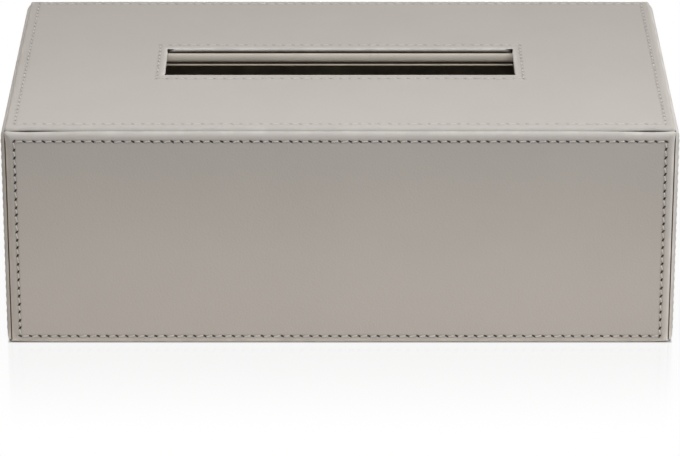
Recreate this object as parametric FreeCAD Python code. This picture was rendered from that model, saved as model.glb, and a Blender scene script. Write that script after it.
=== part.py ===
import FreeCAD, Part
import math
import os

# Tissue box cover: five stitched leather panels on a thin board carcass, open below,
# with a dispensing slot in the top. Millimetres, +Z up, front towards -Y,
# origin in the middle of the footprint on the table.

# Overall size
WIDTH = 260.0             # outside, along X
DEPTH = 145.0             # outside, along Y
HEIGHT = 90.0             # from the table to the top face

# Wall layers, from the outside in
LEATHER = 0.9
STIFFENER = 0.7
BOARD = 5.3
LINING = 0.6

# Turned edges of the leather panels
WALL_ROLL_REACH = 3.0     # distance from a wall panel's edge where its face begins to roll over
TOP_ROLL_REACH = 1.5      # the same on the top panel
ROLL_DROP = 1.5           # how far the face has dropped at the edge
MITRE_GAP = 0.15          # from a panel's mitre to the middle of the corner groove
TOP_CORNER = 1.0          # radius at the corners of the top panel
WALL_CORNER = 0.6         # radius at the corners of the wall panels
TURN_IN = 7.0             # leather turned in behind the stiffener
TURN_IN_SKIVED = 0.3      # thickness of that turn-in after skiving
CARD_INSET = 2.0          # from a panel's edge to the stiffener inside it
PANEL_LIFT = 0.3          # gap between the wall panels and the table

# Carcass
REBATE = 2.5              # how far one board is let into its neighbour

# Dispensing slot
SLOT_LENGTH = 138.4       # along X, between the leather lips
SLOT_WIDTH = 29.0         # along Y, between the leather lips
SLOT_ROLL = 0.7           # radius of the turned leather lip
SLOT_LIP = 0.9            # height of the lip
SLOT_UNDERCUT = 0.6       # how far the leather below the lip draws back
SLOT_EDGING = 1.0         # thickness of the strips on the board's cut edge
SLOT_EDGING_PROUD = 0.3   # how far the front and back strips stand inside the leather lip
SLOT_END_SHY = 1.2        # how far the end strips and the lining stand back behind the end lips
SLOT_EDGING_UPPER = 0.7   # gap between the strips and the leather above them
SLOT_EDGING_LOWER = 1.0   # gap between the strips and the lining below them

# Strips under the carcass
BASE_EDGING = 1.0

# Stitching
THREAD_WIDTH = 0.7
THREAD_HEIGHT = 0.5
THREAD_SINK = 0.1         # top of the thread below the leather's face
STITCH_MARGIN = 3.6       # thread line to the panel edge
BASE_STITCH_MARGIN = 2.6  # thread line to the lower edge of a wall panel
SLOT_ROW_MARGIN = 4.2     # thread line to the slot's front and back lips
SLOT_END_MARGIN = 3.1     # thread line to the slot's left and right lips

# Worked out from the sizes above
SLAB = LEATHER + STIFFENER
EDGE_INSET = ROLL_DROP + MITRE_GAP * math.sqrt(2.0)
CARCASS_X = WIDTH / 2 - SLAB
CARCASS_Y = DEPTH / 2 - SLAB
CARCASS_TOP = HEIGHT - SLAB
INNER_X = CARCASS_X - BOARD
INNER_Y = CARCASS_Y - BOARD
INNER_TOP = CARCASS_TOP - BOARD
LET_IN_X = INNER_X + REBATE
LET_IN_Y = INNER_Y + REBATE
SLOT_X = SLOT_LENGTH / 2
SLOT_Y = SLOT_WIDTH / 2
END_X = SLOT_X + SLOT_END_SHY
BOARD_SLOT_X = END_X + SLOT_EDGING
BOARD_SLOT_Y = SLOT_Y - SLOT_EDGING_PROUD + SLOT_EDGING
SPAN = WIDTH + DEPTH + HEIGHT

X_AXIS = FreeCAD.Vector(1, 0, 0)
Y_AXIS = FreeCAD.Vector(0, 1, 0)
Z_AXIS = FreeCAD.Vector(0, 0, 1)
CENTRE = FreeCAD.Vector(0, 0, 0)


def block(x_low, x_high, y_low, y_high, z_low, z_high):
    """Box between two limits on each axis."""
    corner = FreeCAD.Vector(x_low, y_low, z_low)
    return Part.makeBox(x_high - x_low, y_high - y_low, z_high - z_low, corner)


def sheet(half_x, half_y, z_low, z_high):
    """Box centred on the Z axis."""
    return block(-half_x, half_x, -half_y, half_y, z_low, z_high)


def ring(x_half, y_low, y_high, width, z_low, z_high):
    """Flat rectangular ring whose middle line has the given limits."""
    half = width / 2
    outer = block(-x_half - half, x_half + half, y_low - half, y_high + half, z_low, z_high)
    inner = block(-x_half + half, x_half - half, y_low + half, y_high - half, z_low, z_high)
    return outer.cut(inner)


def roll_arc(edge, side, reach, drop):
    """Arc in X and Z from the edge, dropped below Z 0, to where it meets Z 0 at a tangent.

    The face lies on the other side of the edge than side, which is +1 or -1.
    """
    radius = (reach ** 2 + drop ** 2) / (2 * drop)
    middle = math.atan2(drop, reach)
    foot = edge - side * reach
    start = FreeCAD.Vector(edge, 0, -drop)
    between = FreeCAD.Vector(foot + side * radius * math.sin(middle), 0, radius * (math.cos(middle) - 1))
    end = FreeCAD.Vector(foot, 0, 0)
    return Part.Arc(start, between, end).toShape()


def line(x_start, z_start, x_end, z_end):
    """Straight edge in the X and Z plane."""
    return Part.makeLine(FreeCAD.Vector(x_start, 0, z_start), FreeCAD.Vector(x_end, 0, z_end))


def bar(edges):
    """Long bar along Y whose section is a closed run of edges in X and Z."""
    section = Part.Face(Part.Wire(edges))
    section.translate(Y_AXIS * -SPAN)
    return section.extrude(Y_AXIS * 2 * SPAN)


def panel_bar(low, high, low_mitred, reach):
    """Bar with a panel's section between two edges, its face at Z 0.

    Both edges roll over. The high edge is mitred behind the roll, and the low edge is mitred or square.
    """
    bevel = SLAB - ROLL_DROP
    low_back = low + bevel if low_mitred else low
    high_back = high - bevel
    return bar([
        roll_arc(low, -1, reach, ROLL_DROP),
        line(low + reach, 0, high - reach, 0),
        roll_arc(high, 1, reach, ROLL_DROP),
        line(high, -ROLL_DROP, high_back, -SLAB),
        line(high_back, -SLAB, low_back, -SLAB),
        line(low_back, -SLAB, low, -ROLL_DROP),
    ])


def slot_bar(half):
    """Bar with the section of the slot's space, flared above by the turned lips and wider below them."""
    flare = half + SLOT_ROLL
    under = half + SLOT_UNDERCUT
    above = SLAB
    below = -2 * SLAB
    return bar([
        roll_arc(half, -1, SLOT_ROLL, SLOT_ROLL),
        line(flare, 0, flare, above),
        line(flare, above, -flare, above),
        line(-flare, above, -flare, 0),
        roll_arc(-half, 1, SLOT_ROLL, SLOT_ROLL),
        line(-half, -SLOT_ROLL, -half, -SLOT_LIP),
        line(-half, -SLOT_LIP, -under, -SLOT_LIP),
        line(-under, -SLOT_LIP, -under, below),
        line(-under, below, under, below),
        line(under, below, under, -SLOT_LIP),
        line(under, -SLOT_LIP, half, -SLOT_LIP),
        line(half, -SLOT_LIP, half, -SLOT_ROLL),
    ])


def crossed(bar_x, bar_y):
    """What two bars share when the second is turned to run along X."""
    bar_y.rotate(CENTRE, Z_AXIS, 90)
    return bar_x.common(bar_y)


def thread_and_channel(half_x, low_y, high_y):
    """Loop of thread and the channel that it lies in, below a face at Z 0."""
    floor = -THREAD_SINK - THREAD_HEIGHT
    thread = ring(half_x, low_y, high_y, THREAD_WIDTH, floor, -THREAD_SINK)
    channel = ring(half_x, low_y, high_y, THREAD_WIDTH, floor, 0)
    return thread, channel


def stepped_card(half_x, low_y, high_y):
    """Stiffener of one panel, stepped at the back, where the leather's skived turn-in lies."""
    step = -SLAB + TURN_IN_SKIVED
    front = block(-half_x, half_x, low_y, high_y, step, -LEATHER)
    back_x = half_x - TURN_IN
    back = block(-back_x, back_x, low_y + TURN_IN, high_y - TURN_IN, -SLAB, step)
    return front.fuse(back).removeSplitter()


def rounded_outline(half_x, low_y, high_y, radius):
    """Panel outline with rounded corners, as deep as the slab."""
    outline = block(-half_x, half_x, low_y, high_y, -SLAB, 0)
    corners = [edge for edge in outline.Edges if edge.BoundBox.ZLength > SLAB / 2]
    return outline.makeFillet(radius, corners)


def leather_panel(half_x, low_y, high_y, low_mitred, reach, corner):
    """Slab, stiffener and thread loop of one panel, face up at Z 0, before they are parted."""
    slab = crossed(panel_bar(-half_x, half_x, True, reach), panel_bar(low_y, high_y, low_mitred, reach))
    slab = slab.common(rounded_outline(half_x, low_y, high_y, corner))
    card = stepped_card(half_x - CARD_INSET, low_y + CARD_INSET, high_y - CARD_INSET)
    low_margin = STITCH_MARGIN if low_mitred else BASE_STITCH_MARGIN
    loop = thread_and_channel(half_x - STITCH_MARGIN, low_y + low_margin, high_y - STITCH_MARGIN)
    return slab, card, loop


def parted(slab, stiffener, channels):
    """Leather and stiffener with the stitch channels cut in them."""
    leather = slab.cut(stiffener)
    for channel in channels:
        leather = leather.cut(channel)
        stiffener = stiffener.cut(channel)
    return leather, stiffener


def placed(shape, along, up, outward, origin):
    """Shape with its X, Y and Z axes turned to the given directions, moved to origin."""
    turned = shape.copy()
    turned.Placement = FreeCAD.Placement(origin, FreeCAD.Rotation(along, up, outward, "XYZ"))
    return turned


def wall_panel(name, half_length, along, outward, distance):
    """One wall's leather, stiffener and stitching."""
    half = half_length - EDGE_INSET
    high = HEIGHT - EDGE_INSET
    panel = leather_panel(half, PANEL_LIFT, high, False, WALL_ROLL_REACH, WALL_CORNER)
    slab, card, (thread, channel) = panel
    leather, stiffener = parted(slab, card, [channel])
    pieces = {"leather": leather, "stiffener": stiffener, "stitching": thread}
    seat = outward * distance
    return {f"{name}_{kind}": placed(piece, along, Z_AXIS, outward, seat) for kind, piece in pieces.items()}


def top_panel():
    """Top leather with rounded corners and a turned slot, its stiffener and its two thread loops."""
    half_x = WIDTH / 2 - EDGE_INSET
    half_y = DEPTH / 2 - EDGE_INSET
    panel = leather_panel(half_x, -half_y, half_y, True, TOP_ROLL_REACH, TOP_CORNER)
    slab, card, (thread, channel) = panel
    slab = slab.cut(crossed(slot_bar(SLOT_X), slot_bar(SLOT_Y)))
    card_slot_x = SLOT_X + LEATHER
    card_slot_y = SLOT_Y + LEATHER
    step = -SLAB + TURN_IN_SKIVED
    card = card.cut(sheet(card_slot_x, card_slot_y, -SLAB, 0))
    card = card.cut(sheet(card_slot_x + TURN_IN, card_slot_y + TURN_IN, -SLAB, step))
    slot_line_y = SLOT_Y + SLOT_ROW_MARGIN
    slot_thread, slot_channel = thread_and_channel(SLOT_X + SLOT_END_MARGIN, -slot_line_y, slot_line_y)
    leather, stiffener = parted(slab, card, [channel, slot_channel])
    pieces = {
        "top_leather": leather,
        "top_stiffener": stiffener,
        "top_stitching": thread,
        "slot_stitching": slot_thread,
    }
    for piece in pieces.values():
        piece.translate(Z_AXIS * HEIGHT)
    return pieces


def carcass():
    """Five boards: the sides are let into the front and back, and the top into all four."""
    lid = sheet(LET_IN_X, LET_IN_Y, INNER_TOP, CARCASS_TOP)
    left = block(-CARCASS_X, -INNER_X, -LET_IN_Y, LET_IN_Y, BASE_EDGING, CARCASS_TOP)
    right = block(INNER_X, CARCASS_X, -LET_IN_Y, LET_IN_Y, BASE_EDGING, CARCASS_TOP)
    front = block(-CARCASS_X, CARCASS_X, -CARCASS_Y, -INNER_Y, BASE_EDGING, CARCASS_TOP)
    back = block(-CARCASS_X, CARCASS_X, INNER_Y, CARCASS_Y, BASE_EDGING, CARCASS_TOP)
    slot = sheet(BOARD_SLOT_X, BOARD_SLOT_Y, INNER_TOP, CARCASS_TOP)
    return {
        "front_board": front.cut(left).cut(right).cut(lid),
        "back_board": back.cut(left).cut(right).cut(lid),
        "left_board": left.cut(lid),
        "right_board": right.cut(lid),
        "top_board": lid.cut(slot),
    }


def four_strips(name, outer_x, outer_y, width, z_low, z_high):
    """Four strips in a rectangle: front and back run the full length, left and right fit between them."""
    inner_x = outer_x - width
    inner_y = outer_y - width
    return {
        name.format("front"): block(-outer_x, outer_x, -outer_y, -inner_y, z_low, z_high),
        name.format("back"): block(-outer_x, outer_x, inner_y, outer_y, z_low, z_high),
        name.format("left"): block(-outer_x, -inner_x, -inner_y, inner_y, z_low, z_high),
        name.format("right"): block(inner_x, outer_x, -inner_y, inner_y, z_low, z_high),
    }


def lining():
    """Top lining with the slot in it, and four wall linings below it."""
    below_top = INNER_TOP - LINING
    pieces = four_strips("{}_lining", INNER_X, INNER_Y, LINING, BASE_EDGING, below_top)
    top = sheet(INNER_X, INNER_Y, below_top, INNER_TOP)
    pieces["top_lining"] = top.cut(sheet(END_X, SLOT_Y, below_top, INNER_TOP))
    return pieces


def slot_edging():
    """Strips on the board's cut edge: proud of the front and back lips, and hidden under the end lips."""
    z_low = INNER_TOP + SLOT_EDGING_LOWER
    z_high = CARCASS_TOP - SLOT_EDGING_UPPER
    return four_strips("slot_edging_{}", BOARD_SLOT_X, BOARD_SLOT_Y, SLOT_EDGING, z_low, z_high)


def base_edging():
    """Strips under the boards and linings, on which the cover stands."""
    return four_strips("base_edging_{}", CARCASS_X, CARCASS_Y, BOARD + LINING, 0, BASE_EDGING)


def cover():
    """Every piece of the cover by node name."""
    pieces = carcass()
    pieces.update(lining())
    pieces.update(base_edging())
    pieces.update(slot_edging())
    pieces.update(top_panel())
    pieces.update(wall_panel("front", WIDTH / 2, X_AXIS, -Y_AXIS, DEPTH / 2))
    pieces.update(wall_panel("back", WIDTH / 2, -X_AXIS, Y_AXIS, DEPTH / 2))
    pieces.update(wall_panel("left", DEPTH / 2, -Y_AXIS, -X_AXIS, WIDTH / 2))
    pieces.update(wall_panel("right", DEPTH / 2, Y_AXIS, X_AXIS, WIDTH / 2))
    return pieces


os.makedirs("parts", exist_ok=True)
for node, solid in cover().items():
    if len(solid.Solids) != 1 or not solid.isValid():
        raise ValueError(f"{node} is not one valid solid")
    solid.exportStep(f"parts/{node}.step")
    print(f"{node}: {solid.Volume / 1000:.2f} cm3")
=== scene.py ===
"""Leather tissue box cover: stitched panels, slot edging, linings and base strips, in a plain studio."""

import math
from collections import namedtuple

import bpy
import numpy as np
from bpy.props import FloatProperty, FloatVectorProperty, PointerProperty
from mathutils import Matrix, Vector


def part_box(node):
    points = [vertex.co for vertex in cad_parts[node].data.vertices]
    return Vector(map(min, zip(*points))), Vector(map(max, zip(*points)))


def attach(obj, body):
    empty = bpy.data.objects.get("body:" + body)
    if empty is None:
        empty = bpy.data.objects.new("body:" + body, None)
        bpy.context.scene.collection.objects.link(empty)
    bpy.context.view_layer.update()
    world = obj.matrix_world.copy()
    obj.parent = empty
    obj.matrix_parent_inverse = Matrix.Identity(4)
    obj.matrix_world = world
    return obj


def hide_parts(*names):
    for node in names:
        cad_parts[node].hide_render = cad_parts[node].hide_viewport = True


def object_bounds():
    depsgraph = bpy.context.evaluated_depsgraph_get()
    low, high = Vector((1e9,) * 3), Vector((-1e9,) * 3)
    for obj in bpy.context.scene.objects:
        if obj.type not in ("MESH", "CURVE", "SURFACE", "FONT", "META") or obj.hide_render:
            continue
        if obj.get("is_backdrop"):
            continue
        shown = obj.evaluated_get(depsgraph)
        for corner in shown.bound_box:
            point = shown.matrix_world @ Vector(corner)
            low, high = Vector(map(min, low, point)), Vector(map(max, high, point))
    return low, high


bl_info = {
    "name": "Tissue Box Cover",
    "version": (1, 0, 0),
    "blender": (4, 5, 0),
    "location": "View3D > Sidebar > Cover",
    "description": "Builds a stitched leather tissue box cover around its solids",
    "category": "Object",
}

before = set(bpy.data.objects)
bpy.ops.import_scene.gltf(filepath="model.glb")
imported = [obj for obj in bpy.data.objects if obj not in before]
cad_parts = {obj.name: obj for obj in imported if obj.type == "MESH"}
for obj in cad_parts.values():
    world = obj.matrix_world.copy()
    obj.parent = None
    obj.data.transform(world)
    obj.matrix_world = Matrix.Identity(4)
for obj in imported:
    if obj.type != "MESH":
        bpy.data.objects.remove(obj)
CAD_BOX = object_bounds()

MM = 0.001
BODY = "root"
IMAGE_WIDTH = 680  # pixels
SENSOR_WIDTH = 36.0  # millimetres
CLIP_END = 20.0  # metres

WALLS = ("front", "back", "left", "right")
PANELS = WALLS + ("top",)

# Along, up and outward of each panel, seen from outside
AXES = {
    "front": ((1, 0, 0), (0, 0, 1), (0, -1, 0)),
    "back": ((-1, 0, 0), (0, 0, 1), (0, 1, 0)),
    "left": ((0, -1, 0), (0, 0, 1), (-1, 0, 0)),
    "right": ((0, 1, 0), (0, 0, 1), (1, 0, 0)),
    "top": ((1, 0, 0), (0, 1, 0), (0, 0, 1)),
}

WHITE = (1.0, 1.0, 1.0, 1.0)

# Place in metres, aim and size of each lamp
FRONT_EDGE = (0.0, -0.07, 0.09)
BODY_MIDDLE = (0.0, 0.0, 0.06)
LAMPS = {
    "overhead": ((0.0, -0.19, 0.42), FRONT_EDGE, (0.6, 0.15)),
    "key": ((0.6, -0.58, 0.7), FRONT_EDGE, (0.4, 0.4)),
    "right": ((0.7, -0.1, 0.2), BODY_MIDDLE, (0.3, 0.3)),
    "left": ((-0.7, -0.1, 0.2), BODY_MIDDLE, (0.3, 0.3)),
    "rear": ((0.0, 0.9, 0.9), BODY_MIDDLE, (1.2, 0.5)),
    "back": ((0.0, 1.0, 0.045), BODY_MIDDLE, (0.8, 0.08)),
    "front": ((0.0, -0.155, 0.004), (0.0, 0.0, 0.004), (0.5, 0.008)),
}
COOL_LAMPS = ("overhead", "key", "right")

# Mesh density
STITCH_CUTS = 12  # fine points along one coarse step of a stitched band
CORNER_STEPS = 4  # coarse steps round a rounded corner
BAND_RINGS = 18  # rings across a stitched band
ROLL_RINGS = 9  # rings round a turned edge
LIP_RINGS = 6  # rings round the slot's lip
ROUND_RINGS = 4  # rings round a small rounding
THREAD_SIDES = 8  # points round a thread
THREAD_SECTIONS = 8  # sections along a stitch
BEAD_STEPS = 15  # points round a slot strip's face
GRID_MARGIN = 0.5 * MM  # from a sheet's last ring to the flat grid inside it
LINING_STEP = 12 * MM  # step of a lining's grid
FLOOR_LINES = 13  # lines of the floor's grid each way
SHARP_ANGLE = math.radians(50)

# Stitches
STITCH_SEED = 7  # start of the random draws for uneven stitches
CHANNEL_SPREAD = 0.9  # spread of the channel's bell curve, in widths of the channel
CHANNEL_SHADE = 0.3  # darkness of the channel beside the thread
HOLE_STEEPNESS = 1.3  # how fast a hole's bell curve falls
HOLE_RIM = 1.5  # distance from a slit, in its half sizes, where its painted shade begins
HOLE_RIM_WIDTH = 0.6  # distance over which that painted shade becomes full
THREAD_START = 0.36  # from a slit's middle to a thread's end, in lengths of the slit
THREAD_TAPER = 0.4  # share of its width that a thread loses at its ends
THREAD_POWER = 5  # how abruptly a thread dives
PLY_TURNS = 1900.0  # turns of the plies in a metre of thread

# Turned edges, strips, wear and painted highlight
BAND_START = 1.7 * MM  # from a panel's edge to its stitched band
BAND_END = 4.8 * MM  # from a panel's edge to the inner side of that band
BAND_MARGIN = 0.8 * MM  # from a stitched band to the plain ring beside it
SLOT_BAND_HALF = 1.4 * MM  # half the width of the stitched band round the slot
GROOVE_REACH = 8 * MM  # from a corner to the widest place of the groove's opening
CORNER_POWER = 24  # how abruptly an edge changes near its corners
NOTCH_START = 0.7  # turn of the slot's lip, in radians, where the notch begins
NOTCH_FULL_SHADE = 0.3 * MM  # depth at which a notch's painted shade is full
BEAD_POWER = 2.4  # fullness of the slot strips' section
LEAST_ROUND = 0.2  # share of a small rounding that its innermost ring keeps
WEAR_REACH = 1.1 * MM  # from an edge to where its wear and painted highlight have faded
TOP_WEAR_AND_HIGHLIGHT = 0.4  # wear and painted highlight of the top's outer edges, which lie higher in the groove
FOOT_HIGHLIGHT = 2.0  # painted highlight on the walls' lower edges, for the light that the white floor throws up
FOOT_REACH = 1.7 * MM  # from a lower edge to where that painted highlight has faded
GRIP_WEAR_AND_HIGHLIGHT = 1.6  # wear and painted highlight of the end walls' upper edges, where hands hold the cover
GRIP_REACH = 2.4 * MM  # from such an edge to where that wear and highlight have faded
FOOT_FLATNESS = 0.55  # share of the roll that the lower edge of a wall lacks

# Floor
FLOOR_HALF = 3.0  # half the floor's side in metres
CONTACT_REACH = 1.2 * MM  # how far under the cover's edge the floor stops being white
MIRROR_ROUGHNESS = 0.14


# Properties that a user would change


def length(name, description, millimetres):
    """Length property with its default in millimetres."""
    return FloatProperty(name=name, description=description, default=millimetres * MM, min=0.0,
                         precision=5, unit="LENGTH", subtype="DISTANCE")


def share(name, description, default, highest=1.0):
    """Plain number from zero up to a highest value."""
    return FloatProperty(name=name, description=description, default=default, min=0.0, max=highest)


def angle(name, description, degrees):
    """Angle property with its default in degrees."""
    return FloatProperty(name=name, description=description, default=math.radians(degrees),
                         subtype="ANGLE", unit="ROTATION")


def power(name, description, watts):
    """Power of a lamp in watts."""
    return FloatProperty(name=name, description=description, default=watts, min=0.0,
                         precision=3, unit="POWER")


def linear(*levels):
    """Linear light of display levels from 0 to 255."""
    level = np.array(levels) / 255
    return tuple(np.where(level <= 0.04045, level / 12.92, ((level + 0.055) / 1.055) ** 2.4))


def colour(name, description, red, green, blue):
    """Colour property with its default in display levels from 0 to 255."""
    return FloatVectorProperty(name=name, description=description, default=linear(red, green, blue),
                               size=3, min=0.0, max=1.0, subtype="COLOR")


class CoverSizes(bpy.types.PropertyGroup):
    """Sizes of the turned edges and of the pieces inside."""

    wall_reach: length("Wall roll", "Distance from a wall's edge where its face begins to roll over", 3.0)
    wall_turn: angle("Wall turn", "Turn of the ellipse that a wall panel's edge rolls along", 62.0)
    top_reach: length("Top roll", "Distance from the top's edge where its face begins to roll over", 1.5)
    top_turn: angle("Top turn", "Turn of the ellipse that the top panel's edge rolls along", 90.0)
    roll_drop: length("Roll drop", "How far the face has dropped at the edge", 1.5)
    wall_corner: length("Wall corner", "Radius at the corners of the wall panels", 0.6)
    top_corner: length("Top corner", "Radius at the corners of the top panel", 1.0)
    inner_corner: length("Inner corner", "Least corner radius of a ring inside a panel", 0.4)
    edge_swell: length("Edge swell", "How far the edges round the top fill their groove", 0.18)
    groove_opening: length("Groove opening", "How far the front and back grooves open near the corners", 0.36)
    corner_gap: length("Corner gap", "How far the walls' upright edges draw back below their upper ends", 0.3)
    turn_in: length("Turn-in", "Leather turned in behind the stiffener", 7.0)
    turn_in_skived: length("Skived turn-in", "Thickness of the turn-in", 0.3)
    slot_roll: length("Slot roll", "Radius of the turned lip of the slot", 0.7)
    slot_lip: length("Slot lip", "Height of the slot's leather lip", 0.9)
    slot_undercut: length("Slot undercut", "How far the leather below the lip draws back", 0.6)
    slot_corner: length("Slot corner", "Radius at the corners of the slot", 0.5)
    slot_notch: length("Slot notch", "Depth of the cut that lets the lip turn in at a slot corner", 1.2)
    notch_width: length("Notch width", "Length of that cut along each side", 2.0)
    edging_proud: length("Edging proud", "How far the front and back slot edging stands inside the lip", 0.3)
    end_shy: length("End strips shy", "How far the slot edging at the ends stands back behind the lip", 1.2)
    edging_round: length("Edging rounding", "Radius at the edges of the strips under the walls", 0.3)
    lining_round: length("Lining rounding", "Radius at the edges of the linings", 0.25)


class CoverStitches(bpy.types.PropertyGroup):
    """Sizes of the stitches."""

    pitch: length("Pitch", "Distance from one stitch hole to the next", 3.8)
    upright_pitch: length("Upright pitch", "The same in the upright rows of the walls", 3.45)
    channel: length("Channel width", "Width of the channel that the thread lies in", 0.7)
    channel_depth: length("Channel depth", "How far the thread draws the leather in", 0.04)
    hole_length: length("Hole length", "Length of the slit that an awl leaves", 1.6)
    hole_width: length("Hole width", "Width of the slit", 0.62)
    hole_depth: length("Hole depth", "Depth of the slit below the channel", 0.55)
    slant: angle("Slant", "Turn of the slits against the line of travel", 28.0)
    slant_spread: angle("Slant spread", "How far that turn differs from slit to slit", 9.0)
    hole_spread: length("Hole spread", "How far a hole lies from its even place", 0.2)
    thread_width: length("Thread width", "Width of the thread between two holes", 0.6)
    thread_height: length("Thread height", "Height of the thread's section", 0.5)
    thread_proud: length("Thread proud", "Height of the thread's top over the leather's face", 0.22)
    thread_dive: length("Thread dive", "Depth of the thread's ends in the holes", 0.55)
    # Shares of the holes' painted shade in the top's long and short rows
    top_hole_shade: share("Top holes", "How far the holes show in the top's long rows, filled with thread", 0.21)
    end_hole_shade: share("Top end holes", "The same in the top's short rows", 0.42)


class CoverFinish(bpy.types.PropertyGroup):
    """Colours and grain of the materials."""

    leather: colour("Leather", "Colour of the panels", 188, 182, 176)
    # Lighter than the panels' leather: painted light for the slot strips, which the lamps reach less
    edging: colour("Edging", "Colour of the leather strips", 212, 203, 191)
    # Near-black painted shade deep in the stitch holes, along the channels and in the slot's corner notches
    hole: colour("Holes", "Colour deep in the stitch holes", 12, 8, 5)
    # Lighter colour of the turned edges: wear together with painted highlight
    wear: colour("Worn edge", "Colour that the leather wears to on its turned edges", 220, 215, 208)
    thread: colour("Thread", "Colour of the thread", 208, 202, 194)
    lining: colour("Lining", "Colour of the lining's nap", 188, 178, 162)
    # Dark, as painted shade for the grooves between the panels, where the boards show
    board: colour("Board", "Colour of the fibreboard", 84, 71, 59)
    card: colour("Card", "Colour of the raw stiffener card", 146, 136, 120)
    grain: length("Grain", "Size of one cell of the leather's grain", 0.8)
    roughness: share("Leather roughness", "Roughness of the leather", 0.55)


class CoverStudio(bpy.types.PropertyGroup):
    """Camera, lamps and floor."""

    camera_distance: length("Camera distance", "Camera in front of the cover's middle", 1462.0)
    camera_height: length("Camera height", "Camera above the floor", 645.8)
    camera_pitch: angle("Camera pitch", "How far the camera looks down", 22.43)
    camera_lens: FloatProperty(name="Lens", description="Focal length in millimetres",
                               default=207.6, unit="CAMERA")
    camera_rise: share("Camera rise", "Pixels from the picture's middle up to the lens axis", 56.0, 200.0)
    ambient: share("Ambient", "Strength of the even light from all round", 0.1, 10.0)
    overhead: power("Overhead strip", "Watts of the strip above the front edge", 1.26)
    key: power("Key lamp", "Watts of the lamp high on the right in front", 1.75)
    right: power("Right lamp", "Watts of the lamp on the right", 1.5)
    left: power("Left lamp", "Watts of the lamp on the left", 0.5)
    rear: power("Rear lamp", "Watts of the lamp high behind", 2.7)
    back: power("Back lamp", "Watts of the low lamp that lights the back wall", 3.3)
    front: power("Front strip", "Watts of the strip on the floor in front", 0.078)
    coolness: colour("Coolness", "Tint of the overhead strip, the key lamp and the right lamp", 251, 253, 255)
    warmth: colour("Warmth", "Tint of the other lamps", 255, 244, 231)
    floor: colour("Floor", "Colour of the floor", 179, 179, 179)
    floor_glow: share("Floor glow", "Share of plain white in the floor close to the cover, to the eye", 0.95)
    floor_mirror: share("Floor mirror", "Share of mirror image close to the cover", 0.09)
    mirror_reach: length("Mirror reach", "Distance from the cover at which the mirror image has faded", 85.0)


SETTINGS = {
    "cover_sizes": CoverSizes,
    "cover_stitches": CoverStitches,
    "cover_finish": CoverFinish,
    "cover_studio": CoverStudio,
}


# Shader maths


class Socket:
    """Output of a node; arithmetic with it adds Math nodes."""

    def __init__(self, finish, output):
        self.finish = finish
        self.output = output

    def math(self, operation, *others):
        """Math node on this value and the others."""
        values = dict(enumerate((self,) + others))
        return self.finish.node("Math", {"operation": operation}, values)

    def __add__(self, other):
        return self.math("ADD", other)

    def __sub__(self, other):
        return self.math("SUBTRACT", other)

    def __rsub__(self, other):
        return self.finish.node("Math", {"operation": "SUBTRACT"}, {0: other, 1: self})

    def __mul__(self, other):
        return self.math("MULTIPLY", other)

    __radd__ = __add__


class Finish:
    """Nodes of a material or a world; values are set straight on the sockets or linked from patterns."""

    def __init__(self, owner):
        self.owner = owner
        self.owner.use_nodes = True
        self.tree = self.owner.node_tree
        self.tree.nodes.clear()

    def node(self, kind, settings=None, values=None, output=0):
        """Adds a shader node: its settings first, then values or links of its sockets; gives one output."""
        made = self.tree.nodes.new(f"ShaderNode{kind}")
        for key, setting in (settings or {}).items():
            setattr(made, key, setting)
        for key, value in (values or {}).items():
            if isinstance(value, Socket):
                self.tree.links.new(value.output, made.inputs[key])
            else:
                made.inputs[key].default_value = value
        return Socket(self, made.outputs[output]) if made.outputs else None

    def place(self):
        """Position in the cover's own frame."""
        return self.node("TexCoord", output="Object")

    def parts(self, vector):
        """The three parts of a vector."""
        split = self.node("SeparateXYZ", values={0: vector})
        return [Socket(self, output) for output in split.output.node.outputs]

    def noise(self, size, detail=2.0, rough=0.5):
        """Soft noise whose lumps have about the given size."""
        values = {"Vector": self.place(), "Scale": 1 / size, "Detail": detail, "Roughness": rough}
        return self.node("TexNoise", values=values)

    def cells(self, size):
        """Smooth cells of about the given size: low in the middle, high between them."""
        values = {"Vector": self.place(), "Scale": 1 / size, "Smoothness": 0.6}
        return self.node("TexVoronoi", {"feature": "SMOOTH_F1"}, values)

    def mark(self, name):
        """Value stored on the mesh's points."""
        return self.node("Attribute", {"attribute_name": name}, output="Fac")

    def ramp(self, value, low, high):
        """Value spread from 0 at low to 1 at high."""
        values = {"Value": value, "From Min": low, "From Max": high}
        return self.node("MapRange", {"interpolation_type": "SMOOTHSTEP"}, values)

    def mix(self, factor, first, second):
        """Colour between two colours."""
        values = {0: factor, 6: rgba(first), 7: rgba(second)}
        return self.node("Mix", {"data_type": "RGBA"}, values, output=2)

    def tones(self, factor, base, dark, light):
        """One colour, made darker where the factor is 0 and lighter where it is 1."""
        return self.mix(factor, shade(base, dark), shade(base, light))

    def bump(self, height, depth):
        """Normal of a surface that rises by depth where height is 1."""
        return self.node("Bump", values={"Height": height, "Distance": depth, "Strength": 1.0})

    def surface(self, **values):
        """Principled shader joined to the output; names have underscores for spaces."""
        spelt = {key.replace("_", " "): value for key, value in values.items()}
        return self.finished(self.node("BsdfPrincipled", values=spelt))

    def finished(self, shader):
        """Joins a shader to the output and gives the material or the world."""
        kind = "World" if isinstance(self.owner, bpy.types.World) else "Material"
        self.node(f"Output{kind}", values={"Surface": shader})
        return self.owner


def new_finish(name):
    """Nodes of a new material."""
    return Finish(bpy.data.materials.new(name))


def rgba(value):
    """Colour with full alpha, or a socket as it is."""
    return value if isinstance(value, Socket) else (*value, 1.0)


def shade(value, factor):
    """Colour made lighter or darker by a factor."""
    return tuple(min(part * factor, 1.0) for part in value)


# Materials


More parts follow.
